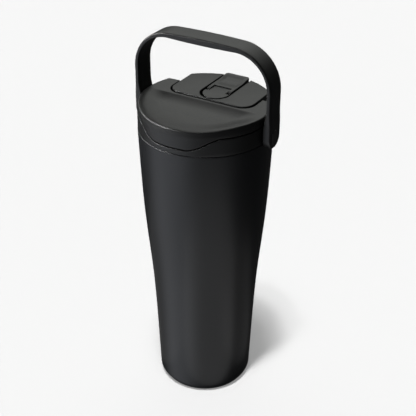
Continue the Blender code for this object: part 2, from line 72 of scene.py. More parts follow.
CUP_TOP = SHELL_HIGH.z
LID_RADIUS = 46.7
LID_BOTTOM = CUP_TOP + 0.3
LID_TOP = COVER_HIGH.z
DECK_Z = PANEL_LOW.z - 0.3
RIM_RADIUS = 45.4
SKIRT_WALL = 2.0
RIM_ROUNDING = ((45.15, 0.0), (45.5, 0.07), (45.8, 0.25), (46.02, 0.55), (46.14, 0.95),
                (46.3, 1.8), (46.5, 2.9))
SKIRT_START = 3.9
SKIRT_RADIUS = 46.68
WAVE_GAP = 0.9
WAVE_LOW = 215.8
WAVE_HIGH = DECK_Z
NOTCH_Y = COVER_HIGH.y
SCOOP_FLOOR = 228.2
FRONT_RIM = 229.3
SCOOP_START_Y = -1.4
SCOOP_REACH = 12.0
SCOOP_CURVE = 2.3
SCOOP_EDGE = 0.5
BOWL_START = 30.0
PANEL_HALF = PANEL_HIGH.x
PANEL_FRONT_Y = PANEL_LOW.y
PANEL_CORNER = 9.0
PANEL_TOP = PANEL_HIGH.z
PANEL_GAP = 1.3
SLOT_HALF = 11.0
BLOCK_GAP = 2.4
TONGUE_GAP = 0.6
KNUCKLE_GAP = 1.0
SLOT_FRONT_Y = 2.2
CAP_HALF = CAP_HIGH.x
CAP_REAR_Y = CAP_HIGH.y
CAP_LIP_RISE = 0.8
CAP_TOP = CAP_HIGH.z - CAP_LIP_RISE
HINGE_Y = joint_point("cap_flip").y
HINGE_Z = joint_point("cap_flip").z
KNUCKLE_RADIUS = 3.2
TONGUE_HALF = 6.5
SPOUT_LOW, SPOUT_HIGH = node_box("spout_tube")
SPOUT_Y = (SPOUT_LOW.y + SPOUT_HIGH.y) / 2
SPOUT_RADIUS = SPOUT_HIGH.x
SPOUT_BORE = 5.3
VENT_X, VENT_Y, VENT_RADIUS = -7.4, 24.6, 1.3
PLUG_LOW, PLUG_HIGH = node_box("threaded_plug")
PLUG_BOTTOM, PLUG_TOP = PLUG_LOW.z, PLUG_HIGH.z
PLUG_RADIUS = 39.9
PLUG_FLANGE = PLUG_HIGH.x
FOOT_RADIUS = node_box("foot_pad")[1].x
MOUTH_RADIUS = 41.9
PIVOT_Z = joint_point("handle_swing").z
HANDLE_TOP = 276.7
HANDLE_OUTER = STRAP_HIGH.x
LEG_OUTER = 52.3
HANDLE_CORNER = 28.4
HANDLE_INNER_CORNER = 23.5
HANDLE_CROWN = 0.5
HANDLE_LEG = 3.0
HANDLE_BAR = 3.6
HANDLE_HALF = 7.9
HANDLE_END_RADIUS = 7.6
END_INNER = 47.3
END_REACH = 20.0
STRAP_FILLETS = (0.8, 1.1)
WASHER_RECESS = 5.2
SCREW_HOLE = 1.7
HEAD_RECESS, HEAD_RECESS_DEPTH = 3.0, 2.7
OVAL_HALF, OVAL_LONG = 3.3, 5.6
OVAL_GAP = 0.3
OVAL_RECESS_DEPTH = 1.3
OVAL_SUNK, OVAL_PROUD = 1.1, 0.3
OVAL_BEVEL = 0.55
CUT_INSIDE, CUT_OUTSIDE = 40, 60
GASKET_RIBS = (209.2, 207.6)

# The outside of the cup: a straight taper with one soft step.
STEP_Z = 119.0
STEP_RADIUS = 41.4
STEP_HALF = 2.17
STEP_SPREAD = 36.0
TAPER = 0.036
FOOT_CURL_Z = 6.0


def cup_radius(z):
    return STEP_RADIUS + TAPER * (z - STEP_Z) + STEP_HALF * math.tanh((z - STEP_Z) / STEP_SPREAD)


# ---- shape helpers ----
def smooth_step(low, high, value):
    t = min(max((value - low) / (high - low), 0), 1)
    return t * t * (3 - 2 * t)


def arc(cx, cy, radius, start, end, steps):
    """Points on an arc, angles in degrees."""
    angles = [math.radians(start + (end - start) * i / steps) for i in range(steps + 1)]
    return [(cx + radius * math.cos(a), cy + radius * math.sin(a)) for a in angles]


def spread(low, high, count):
    return [low + (high - low) * i / count for i in range(count + 1)]


def add_piece(name, work, material, body, replaces=(), sharp=40.0):
    """Turn a bmesh in millimetres into a finished piece that rides on a body."""
    bmesh.ops.remove_doubles(work, verts=work.verts, dist=0.0005)
    bmesh.ops.recalc_face_normals(work, faces=work.faces)
    mesh = bpy.data.meshes.new(name)
    work.to_mesh(mesh)
    work.free()
    mesh.transform(Matrix.Scale(MM, 4))
    mesh.materials.append(material)
    mesh.shade_smooth()
    mesh.set_sharp_from_angle(angle=math.radians(sharp))
    piece = bpy.data.objects.new(name, mesh)
    bpy.context.scene.collection.objects.link(piece)
    if body:
        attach(piece, body)
    for node in replaces:
        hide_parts(node)
    return piece


def sweep(sections, closed_path=False, caps=True):
    """A closed skin over sections with the same number of points, in order along a path."""
    work = bmesh.new()
    rings = [[work.verts.new(point) for point in section] for section in sections]
    count = len(rings[0])
    pairs = list(zip(rings, rings[1:]))
    if closed_path:
        pairs.append((rings[-1], rings[0]))
    for ring, following in pairs:
        for k in range(count):
            corners = (ring[k], ring[(k + 1) % count], following[(k + 1) % count], following[k])
            distinct = []
            for vertex in corners:
                if all((vertex.co - other.co).length > 0.0005 for other in distinct):
                    distinct.append(vertex)
            if len(distinct) > 2:
                work.faces.new(distinct)
    if caps and not closed_path:
        work.faces.new(rings[0])
        work.faces.new(rings[-1])
    return work


def turned(profile, segments=192, centre=(0, 0)):
    """A closed (radius, z) profile turned round Z."""
    cx, cy = centre
    sections = []
    for i in range(segments):
        a = 2 * math.pi * i / segments
        sections.append([(cx + r * math.cos(a), cy + r * math.sin(a), z) for r, z in profile])
    return sweep(sections, closed_path=True)


def resample(points, count):
    """The same open line with evenly spaced points."""
    source = [Vector(p) for p in points]
    lengths = [0.0]
    for a, b in zip(source, source[1:]):
        lengths.append(lengths[-1] + (b - a).length)
    total = lengths[-1]
    out, k = [], 0
    for i in range(count):
        want = total * i / (count - 1)
        while k < len(lengths) - 2 and lengths[k + 1] < want:
            k += 1
        span = lengths[k + 1] - lengths[k]
        t = (want - lengths[k]) / span if span else 0
        out.append(tuple(source[k].lerp(source[k + 1], t)))
    return out


def rounded_plate(outline, low, high, bevel, axis="Z", steps=3):
    """A flat outline made solid, with round edges. The outline runs anticlockwise."""
    curve = bpy.data.curves.new("plate", "CURVE")
    curve.dimensions = "2D"
    curve.fill_mode = "BOTH"
    curve.extrude = (high - low) / 2 - bevel
    curve.bevel_depth = bevel
    curve.bevel_resolution = steps
    curve.offset = -bevel
    spline = curve.splines.new("POLY")
    spline.points.add(len(outline) - 1)
    for point, (u, v) in zip(spline.points, outline):
        point.co = (u, v, 0, 1)
    spline.use_cyclic_u = True
    drawn = bpy.data.objects.new("plate", curve)
    bpy.context.scene.collection.objects.link(drawn)
    bpy.context.view_layer.update()
    graph = bpy.context.evaluated_depsgraph_get()
    mesh = bpy.data.meshes.new_from_object(drawn.evaluated_get(graph), depsgraph=graph)
    bpy.data.objects.remove(drawn, do_unlink=True)
    middle = (low + high) / 2
    frames = {
        "Z": Matrix(((1, 0, 0, 0), (0, 1, 0, 0), (0, 0, 1, middle), (0, 0, 0, 1))),
        "X": Matrix(((0, 0, 1, middle), (1, 0, 0, 0), (0, 1, 0, 0), (0, 0, 0, 1))),
    }
    mesh.transform(frames[axis])
    work = bmesh.new()
    work.from_mesh(mesh)
    bpy.data.meshes.remove(mesh)
    bmesh.ops.remove_doubles(work, verts=work.verts, dist=0.0005)
    return work


def cutter(name, work):
    """A hidden solid for a Boolean, in millimetres like the piece it cuts."""
    bmesh.ops.recalc_face_normals(work, faces=work.faces)
    mesh = bpy.data.meshes.new(name)
    work.to_mesh(mesh)
    work.free()
    mesh.transform(Matrix.Scale(MM, 4))
    block = bpy.data.objects.new(name, mesh)
    bpy.context.scene.collection.objects.link(block)
    return block


def join(piece, block):
    combine(piece, block, "UNION")


def cut(piece, block):
    combine(piece, block, "DIFFERENCE")


def combine(piece, block, operation):
    """Join or cut the block into the piece, apply the result and remove the block."""
    modifier = piece.modifiers.new("combine", "BOOLEAN")
    modifier.operation = operation
    modifier.object = block
    modifier.solver = "EXACT"
    bpy.context.view_layer.update()
    graph = bpy.context.evaluated_depsgraph_get()
    mesh = bpy.data.meshes.new_from_object(piece.evaluated_get(graph), depsgraph=graph)
    piece.modifiers.clear()
    piece.data = mesh
    bpy.data.objects.remove(block, do_unlink=True)


def prism(outline, low, high):
    """A plain solid over an outline, from low to high, for cutting."""
    return sweep([[(x, y, z) for x, y in outline] for z in (low, high)])


# ---- materials ----
def new_material(name):
    material = bpy.data.materials.new(name)
    material.use_nodes = True
    tree = material.node_tree
    return material, tree, tree.nodes["Principled BSDF"]


def noise(tree, scale, detail):
    texture = tree.nodes.new("ShaderNodeTexNoise")
    texture.inputs["Scale"].default_value = scale
    texture.inputs["Detail"].default_value = detail
    coordinates = tree.nodes.new("ShaderNodeTexCoord")
    tree.links.new(coordinates.outputs["Object"], texture.inputs["Vector"])
    return texture


def ramp(tree, source, stops):
    """A colour ramp: stops are (position, colour)."""
    node = tree.nodes.new("ShaderNodeValToRGB")
    elements = node.color_ramp.elements
    while len(elements) < len(stops):
        elements.new(0.5)
    for element, (position, colour) in zip(elements, stops):
        element.position = position
        element.color = (*colour, 1)
    tree.links.new(source, node.inputs["Fac"])
    return node


def grey(level):
    return (level, level, level)


def bump(tree, shader, source, strength, distance):
    node = tree.nodes.new("ShaderNodeBump")
    node.inputs["Strength"].default_value = strength
    node.inputs["Distance"].default_value = distance
    tree.links.new(source, node.inputs["Height"])
    tree.links.new(node.outputs["Normal"], shader.inputs["Normal"])


def plastic(name, colour, rough, grain=1400.0, depth=0.00003):
    """Moulded plastic with a fine spark-eroded grain and faint uneven gloss."""
    material, tree, shader = new_material(name)
    fine = noise(tree, grain, 2.0)
    broad = noise(tree, 28.0, 3.0)
    tone = ramp(tree, broad.outputs["Fac"], [(0.3, [c * 0.88 for c in colour]),
                                             (0.7, [c * 1.12 for c in colour])])
    tree.links.new(tone.outputs["Color"], shader.inputs["Base Color"])
    gloss = ramp(tree, fine.outputs["Fac"], [(0.25, grey(rough - 0.06)),
                                             (0.75, grey(rough + 0.06))])
    tree.links.new(gloss.outputs["Color"], shader.inputs["Roughness"])
    bump(tree, shader, fine.outputs["Fac"], 0.35, depth)
    return material


def powder_coat(name, colour, rough):
    """Powder coat on steel: a tight orange peel over a slightly speckled black."""
    material, tree, shader = new_material(name)
    peel = noise(tree, 900.0, 1.5)
    speck = noise(tree, 4200.0, 1.0)
    broad = noise(tree, 14.0, 2.0)
    tone = ramp(tree, speck.outputs["Fac"], [(0.3, [c * 0.8 for c in colour]),
                                             (0.72, [c * 1.25 for c in colour])])
    tree.links.new(tone.outputs["Color"], shader.inputs["Base Color"])
    gloss = ramp(tree, broad.outputs["Fac"], [(0.3, grey(rough - 0.02)), (0.7, grey(rough + 0.03))])
    tree.links.new(gloss.outputs["Color"], shader.inputs["Roughness"])
    bump(tree, shader, peel.outputs["Fac"], 0.3, 0.00004)
    return material


def brushed_steel(name):
    """Turned stainless steel: fine rings round the cup's axis."""
    material, tree, shader = new_material(name)
    coordinates = tree.nodes.new("ShaderNodeTexCoord")
    stretch = tree.nodes.new("ShaderNodeMapping")
    stretch.inputs["Scale"].default_value = (20.0, 20.0, 2600.0)
    tree.links.new(coordinates.outputs["Object"], stretch.inputs["Vector"])
    lines = tree.nodes.new("ShaderNodeTexNoise")
    lines.inputs["Scale"].default_value = 1.0
    lines.inputs["Detail"].default_value = 3.0
    tree.links.new(stretch.outputs["Vector"], lines.inputs["Vector"])
    tone = ramp(tree, lines.outputs["Fac"], [(0.3, (0.5, 0.5, 0.51)), (0.7, (0.66, 0.66, 0.67))])
    tree.links.new(tone.outputs["Color"], shader.inputs["Base Color"])
    gloss = ramp(tree, lines.outputs["Fac"], [(0.3, grey(0.24)), (0.7, grey(0.4))])
    tree.links.new(gloss.outputs["Color"], shader.inputs["Roughness"])
    shader.inputs["Metallic"].default_value = 1.0
    bump(tree, shader, lines.outputs["Fac"], 0.25, 0.00002)
    return material


def foam_material(name):
    material, tree, shader = new_material(name)
    cells = tree.nodes.new("ShaderNodeTexVoronoi")
    cells.inputs["Scale"].default_value = 700.0
    coordinates = tree.nodes.new("ShaderNodeTexCoord")
    tree.links.new(coordinates.outputs["Object"], cells.inputs["Vector"])
    tone = ramp(tree, cells.outputs["Distance"], [(0.0, (0.66, 0.64, 0.58)),
                                                  (0.6, (0.86, 0.84, 0.79))])
    tree.links.new(tone.outputs["Color"], shader.inputs["Base Color"])
    shader.inputs["Roughness"].default_value = 0.9
    bump(tree, shader, cells.outputs["Distance"], 0.4, 0.0001)
    return material


COAT = powder_coat("black_powder_coat", (0.009, 0.0095, 0.0105), 0.34)
LID_PLASTIC = plastic("black_lid_plastic", (0.0085, 0.0086, 0.0083), 0.38)
COVER_PLASTIC = plastic("black_cover_plastic", (0.03, 0.0295, 0.0285), 0.42, grain=1500.0)
STRAP_PLASTIC = plastic("black_strap_plastic", (0.009, 0.0091, 0.0088), 0.38, grain=1700.0)
SILICONE = plastic("black_silicone", (0.026, 0.026, 0.027), 0.62, grain=2400.0, depth=0.00002)
STEEL = brushed_steel("turned_steel")
FOAM = foam_material("insulating_foam")


# ---- cup ----
def build_outer_shell():
    top = cup_radius(CUP_TOP)
    foot = cup_radius(FOOT_CURL_Z)
    wall = 0.7
    levels = spread(FOOT_CURL_Z, CUP_TOP - 1.0, 120)
    outside = [(cup_radius(z), z) for z in reversed(levels)]
    lip = arc(top - 0.6, CUP_TOP - 0.6, 0.58, 90, 8, 6)
    curl = arc(foot - 5.6, FOOT_CURL_Z, 5.6, -6, -66, 12)
    low_r, low_z = curl[-1]
    inside = [(cup_radius(z) - wall, z) for z in spread(8.0, CUP_TOP - 1.6, 30)]
    profile = ([(43.0, CUP_TOP - 0.05)] + lip + outside + curl
               + [(low_r - 0.5, low_z + 0.1), (low_r - 0.6, low_z + 0.6), (foot - 1.6, 4.0)]
               + inside + [(top - 1.4, CUP_TOP - 0.75), (43.0, CUP_TOP - 0.75)])
    piece = add_piece("cup_shell", turned(profile, 256), COAT, "cup", ["outer_shell"])


def angle_from_front(x, y):
    return abs(math.degrees(math.atan2(x, -y)))


def wave_height(x, y):
    """Height of the wavy line between the lid's cover and its base."""
    rise = smooth_step(14.0, 44.0, angle_from_front(x, y))
    return WAVE_LOW + (WAVE_HIGH - WAVE_LOW) * rise


def scoop_surface(x, y):
    """Top of the cover: a flat deck, a soft curved step, and a shallow dish up to the front rim."""
    radius = math.hypot(x, y)
    rim = FRONT_RIM + (LID_TOP - FRONT_RIM) * smooth_step(18, 62, angle_from_front(x, y))
    floor = SCOOP_FLOOR + (rim - SCOOP_FLOOR) * smooth_step(BOWL_START, RIM_RADIUS, radius)
    below = math.hypot(max(SCOOP_START_Y - y, 0), SCOOP_EDGE) - SCOOP_EDGE
    along = min(below / SCOOP_REACH, 1)
    return LID_TOP + (floor - LID_TOP) * (1 - (1 - along) ** SCOOP_CURVE)


def across_steps(inner_y, outer_y):
    """Fractions along a line out to the rim, crowded just past the top edge of the step."""
    edge = 1.0
    if outer_y < SCOOP_START_Y:
        edge = (inner_y - SCOOP_START_Y) / (inner_y - outer_y)
    before = [edge * i / 6 for i in range(1, 7)]
    return before + [edge + (1 - edge) * (i / 44) ** 1.7 for i in range(1, 44)]


def build_lid_cover():
    """A loft round the front: from the deck's pocket across the scoop, over the rim and down."""
    half = PANEL_HALF + PANEL_GAP
    front = PANEL_FRONT_Y - PANEL_GAP
    corner = PANEL_CORNER + PANEL_GAP
    inner = ([(-half, NOTCH_Y)] + arc(-half + corner, front + corner, corner, 180, 270, 12)
             + arc(half - corner, front + corner, corner, 270, 360, 12) + [(half, NOTCH_Y)])
    notch_angle = math.degrees(math.asin(NOTCH_Y / LID_RADIUS))
    stations = 300
    inner = resample(inner, stations)
    outer = [(math.cos(math.radians(a)), math.sin(math.radians(a)))
             for a in spread(180 - notch_angle, 360 + notch_angle, stations - 1)]
    base_z = DECK_Z + 0.25
    inside_radius = LID_RADIUS - SKIRT_WALL
    edge = 0.45
    sections = []
    for (ix, iy), (dx, dy) in zip(inner, outer):
        top_in = scoop_surface(ix, iy)
        across = Vector((dx * RIM_RADIUS - ix, dy * RIM_RADIUS - iy))
        reach = across.length
        across = across / reach
        section = [(ix, iy, base_z), (ix, iy, top_in - edge)]
        for u, v in arc(edge, -edge, edge, 150, 90, 3):
            section.append((ix + across.x * u, iy + across.y * u, top_in + v))
        start = Vector((ix, iy)) + across * edge
        for t in across_steps(start.y, dy * RIM_RADIUS):
            x, y = start + across * (reach - edge) * t
            section.append((x, y, scoop_surface(x, y)))
        rim_z = scoop_surface(dx * RIM_RADIUS, dy * RIM_RADIUS)
        low_z = wave_height(dx, dy) + WAVE_GAP / 2
        for r, drop in RIM_ROUNDING:
            section.append((dx * r, dy * r, rim_z - drop))
        for t in spread(0, 1, 8):
            z = rim_z - SKIRT_START + (low_z + 0.35 - rim_z + SKIRT_START) * t
            section.append((dx * SKIRT_RADIUS, dy * SKIRT_RADIUS, z))
        for r, rise in ((46.6, 0.1), (46.4, 0.0), (inside_radius + 0.2, 0.0)):
            section.append((dx * r, dy * r, low_z + rise))
        section.append((dx * inside_radius, dy * inside_radius, low_z + 0.15))
        section.append((dx * inside_radius, dy * inside_radius, base_z))
        sections.append(section)
    piece = add_piece("top_cover", sweep(sections), LID_PLASTIC, "lid", ["lid_cover"], sharp=50)


def build_lid_base():
    """The ring below the wavy line, with the deck that the panel and the cover sit on."""
    ledge = LID_RADIUS - SKIRT_WALL - 0.3
    inner = 43.2
    count = 288
    deck = DECK_Z - 0.1
    under = DECK_Z - 2.2
    sections = []
    for i in range(count):
        a = 2 * math.pi * i / count
        dx, dy = math.cos(a), math.sin(a)
        line = wave_height(dx, dy) - WAVE_GAP / 2
        section = [(0.0, deck)]
        section += [(r, deck) for r in (8, 16, 24, 32, 40)]
        section += [(ledge, deck), (ledge, min(line, deck - 0.02)), (LID_RADIUS - 0.5, line)]
        section += arc(LID_RADIUS - 0.4, line - 0.4, 0.4, 75, 0, 5)
        section += [(LID_RADIUS, line - 0.4 + (LID_BOTTOM + 0.6 - line) * t)
                    for t in spread(0.1, 1, 5)]
        section += arc(LID_RADIUS - 0.2, LID_BOTTOM + 0.2, 0.2, 0, -90, 3)
        section += [(inner, LID_BOTTOM), (inner, under), (0.0, under)]
        sections.append([(r * dx, r * dy, z) for r, z in section])
    piece = add_piece("lid_ring", sweep(sections, closed_path=True), LID_PLASTIC, "lid",
                      ["lid_base"], sharp=50)
    for side in (-1, 1):
        join(piece, rod_block("boss", 3.1, side * (inner + 1.0), side * (END_INNER - 0.4)))
        cut(piece, rod_block("screw_hole", SCREW_HOLE, side * (inner - 1.0),
                             side * (END_INNER + 1.0)))
    drill_lid(piece)
    piece.data.set_sharp_from_angle(angle=math.radians(50))


def drill_lid(piece):
    """The spout's and the vent's holes, right through."""
    for x, y, radius in ((0, SPOUT_Y, SPOUT_RADIUS + 0.3), (VENT_X, VENT_Y, VENT_RADIUS)):
        cut(piece, cutter("hole", prism(arc(x, y, radius, 0, 360, 64)[:-1], 190, 240)))


def deck_outline():
    """The raised panel: a D with round front corners, and the hinge block's slot in its rear."""
    half, front, corner = PANEL_HALF, PANEL_FRONT_Y, PANEL_CORNER
    side = math.degrees(math.acos(half / RIM_RADIUS))
    slot_side = math.degrees(math.acos(SLOT_HALF / RIM_RADIUS))
    slot_centre = SLOT_FRONT_Y + SLOT_HALF
    return (arc(0, 0, RIM_RADIUS, side, slot_side, 14)
            + arc(0, slot_centre, SLOT_HALF, 360, 180, 36)
            + arc(0, 0, RIM_RADIUS, 180 - slot_side, 180 - side, 14)
            + arc(-half + corner, front + corner, corner, 180, 270, 14)
            + arc(half - corner, front + corner, corner, 270, 360, 14))


def build_deck_panel():
    work = rounded_plate(deck_outline(), PANEL_LOW.z, PANEL_TOP, 0.4)
    piece = add_piece("deck", work, LID_PLASTIC, "lid", ["deck_panel"], sharp=60)


def build_hinge_block():
    rear = HINGE_Y - KNUCKLE_RADIUS - KNUCKLE_GAP
    tongue_rear = HINGE_Y + 3.9
    centre = SLOT_FRONT_Y + BLOCK_GAP + CAP_HALF
    outline = (arc(0, centre, CAP_HALF, 180, 360, 40)
               + [(CAP_HALF, rear), (TONGUE_HALF, rear), (TONGUE_HALF, tongue_rear),
                  (-TONGUE_HALF, tongue_rear), (-TONGUE_HALF, rear), (-CAP_HALF, rear)])
    work = rounded_plate(outline, BLOCK_LOW.z, BLOCK_HIGH.z, 0.35)
    piece = add_piece("hinge_cover", work, LID_PLASTIC, "lid", ["hinge_block"], sharp=60)


def cap_top(x, y):
    """Top of the flip cap: flat by the hinge, dished for a fingertip, then a raised lip."""
    rear = CAP_REAR_Y
    lip = CAP_LIP_RISE * smooth_step(rear - 11, rear - 3.2, y)
    inside = 1 - smooth_step(CAP_HALF - 3.5, CAP_HALF - 0.6, abs(x))
    along = smooth_step(HINGE_Y + 6, HINGE_Y + 13, y) * (1 - smooth_step(rear - 6, rear - 2, y))
    return CAP_TOP + lip - 0.75 * inside * along


def build_flip_cap():
    rear = CAP_REAR_Y
    under = HINGE_Z - 0.8
    corner = 3.0
    samples = 26
    stations = ([HINGE_Y - KNUCKLE_RADIUS * math.cos(math.radians(a)) for a in spread(0, 90, 10)]
                + spread(HINGE_Y + 1.0, rear - corner, 30)
                + [rear - corner + corner * math.sin(math.radians(a)) for a in spread(8, 88, 10)])
    sections = []
    for y in stations:
        overhang = max(y - (rear - corner), 0)
        half = CAP_HALF - (corner - math.sqrt(max(corner * corner - overhang * overhang, 0)))
        low, high = under, None
        if y < HINGE_Y:
            drop = math.sqrt(max(KNUCKLE_RADIUS ** 2 - (HINGE_Y - y) ** 2, 0.0))
            low, high = HINGE_Z - drop, HINGE_Z + drop
        elif y < HINGE_Y + KNUCKLE_RADIUS:
            low = min(under, HINGE_Z - math.sqrt(max(KNUCKLE_RADIUS ** 2 - (y - HINGE_Y) ** 2, 0)))
        edge = 0.5
        end_round = 0.9 * (1 - math.sqrt(max(1 - (max(y - (rear - 0.9), 0) / 0.9) ** 2, 0)))
        section = []
        top_at = []
        for x in spread(-half + edge, half - edge, samples):
            z = high if high is not None else cap_top(x, y)
            top_at.append((x, z - end_round))
        low += end_round
        z_left = top_at[0][1]
        z_right = top_at[-1][1]
        section.append((-half, y, min(low + 0.3, z_left)))
        section.append((-half, y, max(z_left - edge, low)))
        for u, v in arc(-half + edge, z_left - edge, edge, 160, 100, 3):
            section.append((u, y, max(v, low)))
        section += [(x, y, max(z, low)) for x, z in top_at]
        for u, v in arc(half - edge, z_right - edge, edge, 80, 20, 3):
            section.append((u, y, max(v, low)))
        section.append((half, y, max(z_right - edge, low)))
        section.append((half, y, min(low + 0.3, z_right)))
        section.append((half - 0.3, y, low))
        section.append((-half + 0.3, y, low))
        sections.append(section)
    piece = add_piece("spout_cap", sweep(sections), LID_PLASTIC, "cap", ["flip_cap"], sharp=40)
    slot = TONGUE_HALF + TONGUE_GAP
    front, back = HINGE_Y - 12, HINGE_Y + 4.35
    outline = [(-slot, front), (slot, front), (slot, back), (-slot, back)]
    cut(piece, cutter("slot", prism(outline, 200, 250)))
    piece.data.set_sharp_from_angle(angle=math.radians(40))


# ---- handle ----
def strap_half_width(z):
    """Half the strap's width: the round ends are a little narrower than the rest."""
    return HANDLE_END_RADIUS + (HANDLE_HALF - HANDLE_END_RADIUS) * smooth_step(0, 22, z - PIVOT_Z)


def strap_path():
    """Outer and inner points of the strap seen from the front, from right pivot to left."""
    inner_x = LEG_OUTER - HANDLE_LEG
    shoulder = HANDLE_TOP - HANDLE_CROWN
    under = shoulder - HANDLE_BAR
    outer, inner = [], []
    corner_low = shoulder - HANDLE_CORNER
    for z in spread(PIVOT_Z, corner_low, 30):
        thicken = 1 - smooth_step(6, END_REACH, z - PIVOT_Z)
        slim = smooth_step(8, END_REACH, z - PIVOT_Z)
        outer.append((HANDLE_OUTER + (LEG_OUTER - HANDLE_OUTER) * slim, z))
        inner.append((inner_x + (END_INNER - inner_x) * thicken, z))
    for a in spread(0, 90, 36)[1:]:
        s, c = math.sin(math.radians(a)), math.cos(math.radians(a))
        outer.append((LEG_OUTER + HANDLE_CORNER * (c - 1), corner_low + HANDLE_CORNER * s))
        inner.append((inner_x + HANDLE_INNER_CORNER * (c - 1),
                      under + HANDLE_INNER_CORNER * (s - 1)))
    outer_reach, inner_reach = outer[-1][0], inner[-1][0]
    for t in spread(0, 1, 16)[1:]:
        lift = HANDLE_CROWN * (1 - (1 - t) ** 2)
        outer.append((outer_reach * (1 - t), shoulder + lift))
        inner.append((inner_reach * (1 - t), under - lift))
    both = list(zip(outer, inner))
    return both + [((-ox, oz), (-ix, iz)) for (ox, oz), (ix, iz) in reversed(both[:-1])]


def strap_profile(half, thick):
    """Half a section of the strap as (sideways, outwards) points, from inner to outer face."""
    inner, outer = STRAP_FILLETS
    return ([(0, 0), (half * 0.5, 0)] + arc(half - inner, inner, inner, -90, 0, 5)
            + arc(half - outer, thick - outer, outer, 0, 90, 6)
            + [(half * 0.5, thick), (0, thick)])


def build_strap_end(work, side):
    """The round end below a pivot: the strap's own section turned half round the pivot's axis."""
    profile = strap_profile(HANDLE_END_RADIUS, HANDLE_OUTER - END_INNER)
    rings = []
    for a in spread(0, 180, 40):
        s, c = math.sin(math.radians(a)), math.cos(math.radians(a))
        rings.append([work.verts.new((side * (END_INNER + v), u * c, PIVOT_Z - u * s))
                      for u, v in profile])
    for ring, following in zip(rings, rings[1:]):
        for k in range(len(profile) - 1):
            corners = [ring[k], ring[k + 1], following[k + 1], following[k]]
            if profile[k][0] == 0:
                corners.pop(0)
            elif profile[k + 1][0] == 0:
                corners.pop(1)
            work.faces.new(corners)


def build_handle():
    """The strap: a flat section with rounded edges, swept over the arch, with its end recesses."""
    sections = []
    for (ox, oz), (ix, iz) in strap_path():
        across = Vector((ox - ix, 0, oz - iz))
        thick = across.length
        across = across / thick
        half = strap_half_width((oz + iz) / 2)
        start = Vector((ix, 0, iz))
        profile = strap_profile(half, thick)
        section = [start + across * v + Vector((0, u, 0)) for u, v in profile]
        section += [start + across * v - Vector((0, u, 0)) for u, v in reversed(profile[1:-1])]
        sections.append(section)
    work = sweep(sections, caps=False)
    for side in (-1, 1):
        build_strap_end(work, side)
    piece = add_piece("carry_strap", work, STRAP_PLASTIC, "handle", ["handle_strap"], sharp=50)
    for side in (-1, 1):
        inside, outside = side * CUT_INSIDE, side * CUT_OUTSIDE
        cut(piece, rod_block("washer_recess", WASHER_RECESS, inside, side * (END_INNER + 1.0)))
        cut(piece, rod_block("screw_hole", SCREW_HOLE, inside, outside))
        cut(piece, rod_block("head_recess", HEAD_RECESS,
                             side * (HANDLE_OUTER - HEAD_RECESS_DEPTH), outside))
        outline = pivot_oval(OVAL_GAP)
        work = sweep([[(x, y, z) for y, z in outline]
                      for x in (side * (HANDLE_OUTER - OVAL_RECESS_DEPTH), outside)])
        cut(piece, cutter("cap_recess", work))
    piece.data.set_sharp_from_angle(angle=math.radians(40))


def rod_block(name, radius, x0, x1):
    """A cylinder along the handle's pivot axis, for joining or cutting."""
    outline = arc(0, PIVOT_Z, radius, 0, 360, 48)[:-1]
    return cutter(name, sweep([[(x, y, z) for y, z in outline] for x in (x0, x1)]))


def pivot_oval(grow):
    """The upright oval round the pivot, as (y, z) points."""
    half = OVAL_HALF + grow
    reach = OVAL_LONG - OVAL_HALF
    return arc(0, PIVOT_Z + reach, half, 0, 180, 20) + arc(0, PIVOT_Z - reach, half, 180, 360, 20)


def build_pivot_caps():
    for side, name in ((1, "right"), (-1, "left")):
        low, high = sorted((side * (HANDLE_OUTER - OVAL_SUNK), side * (HANDLE_OUTER + OVAL_PROUD)))
        work = rounded_plate(pivot_oval(0.0), low, high, OVAL_BEVEL, "X", steps=5)
        piece = add_piece("pivot_cover_" + name, work, COVER_PLASTIC, "handle",
                          ["pivot_cap_" + name], sharp=60)


# ---- inside the cup and under the lid ----
def liner_radius(z):
    return min(MOUTH_RADIUS, cup_radius(z) - 4.0)


def build_inner_liner():
    """The steel inside of the cup: a straight neck, the cup's own taper and a round bottom."""
    floor, corner, wall = 9.5, 11.0, 0.7
    low = floor + corner
    levels = spread(low, 190.0, 60) + [CUP_TOP - 0.4]
    outside = [(liner_radius(z) + wall, z) for z in reversed(levels)]
    centre = liner_radius(low) - corner
    profile = ([(MOUTH_RADIUS + 0.15, CUP_TOP - 0.1), (MOUTH_RADIUS + 0.5, CUP_TOP)] + outside
               + arc(centre, low, corner + wall, -4, -90, 12) + [(0, floor - wall), (0, floor)]
               + arc(centre, low, corner, -90, -4, 12) + [(liner_radius(z), z) for z in levels])
    add_piece("liner", turned(profile, 192), STEEL, "cup", ["inner_liner"])


def build_foot():
    disc = cup_radius(FOOT_CURL_Z) - 1.3
    profile = [(0, 3.0), (7, 3.0), (9, 2.0), (FOOT_RADIUS, 2.0)]
    profile += arc(FOOT_RADIUS - 0.6, 0.6, 0.6, 0, -90, 6)
    profile += [(27.0, 0.0), (26.4, 0.5), (25.6, 0.5), (25.0, 0.0), (0, 0)]
    add_piece("foot", turned(profile, 192), SILICONE, "cup", ["foot_pad"], sharp=50)
    profile = [(0, 4.0), (8, 4.0), (10, 4.8), (disc, 4.8), (disc, 4.1), (10.3, 4.1), (8.3, 3.3),
               (0, 3.3)]
    add_piece("base_disc", turned(profile, 128), STEEL, "cup", ["shell_base"])


